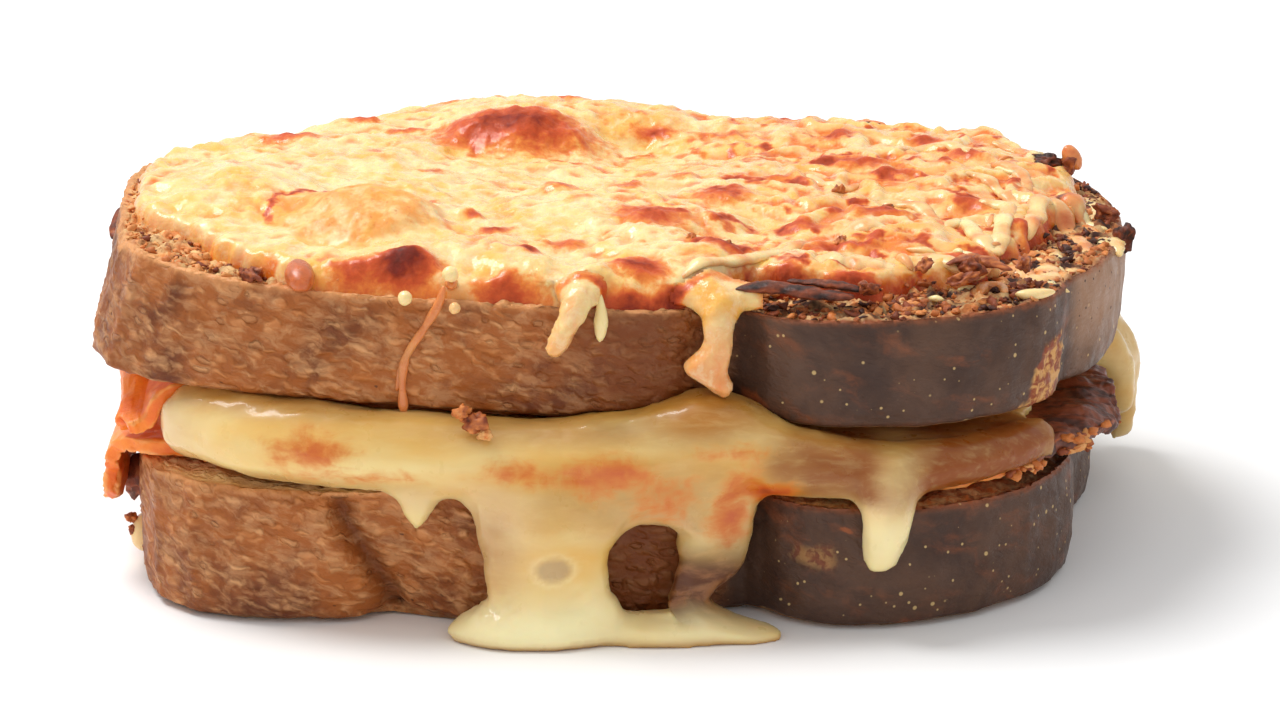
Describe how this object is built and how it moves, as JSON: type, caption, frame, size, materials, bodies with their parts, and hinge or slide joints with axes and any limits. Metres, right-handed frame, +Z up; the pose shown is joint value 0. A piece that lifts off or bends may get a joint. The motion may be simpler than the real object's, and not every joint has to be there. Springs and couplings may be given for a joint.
{
  "type": "croque monsieur",
  "caption": "Toasted ham and cheese sandwich: thick lobed bread slices, ham, melted cheese that has run down to a small pool, and a browned, blistered cheese crust on top.",
  "frame": {"origin": "centre of the bounding box's underside, on the surface that the sandwich rests on", "axes": "+Z up, +X from the loaf's base end to its crown end, -Y the side where most of the cheese has run out"},
  "size_m": [0.1514, 0.119, 0.055],
  "materials": {
    "crust_bottom": "baked crust, warm brown at the base and dark grey-brown at the crown, rough, with pale specks",
    "crust_top": "baked crust, warm brown at the base and dark grey-brown at the crown, with a toasted crumb rim",
    "ham": "cooked ham, orange-red with browned edges, moist",
    "filling_cheese": "melted cheese, pale yellow, translucent and glossy, toasted in places",
    "gratin_cheese": "grilled cheese, creamy yellow with golden and red-brown blisters, glossy"
  },
  "bodies": {
    "root": {"bread_bottom": "crust_bottom", "bread_top": "crust_top", "ham_lower": "ham", "ham_upper": "ham", "cheese_filling": "filling_cheese", "cheese_topping": "gratin_cheese"}
  },
  "joints": []
}
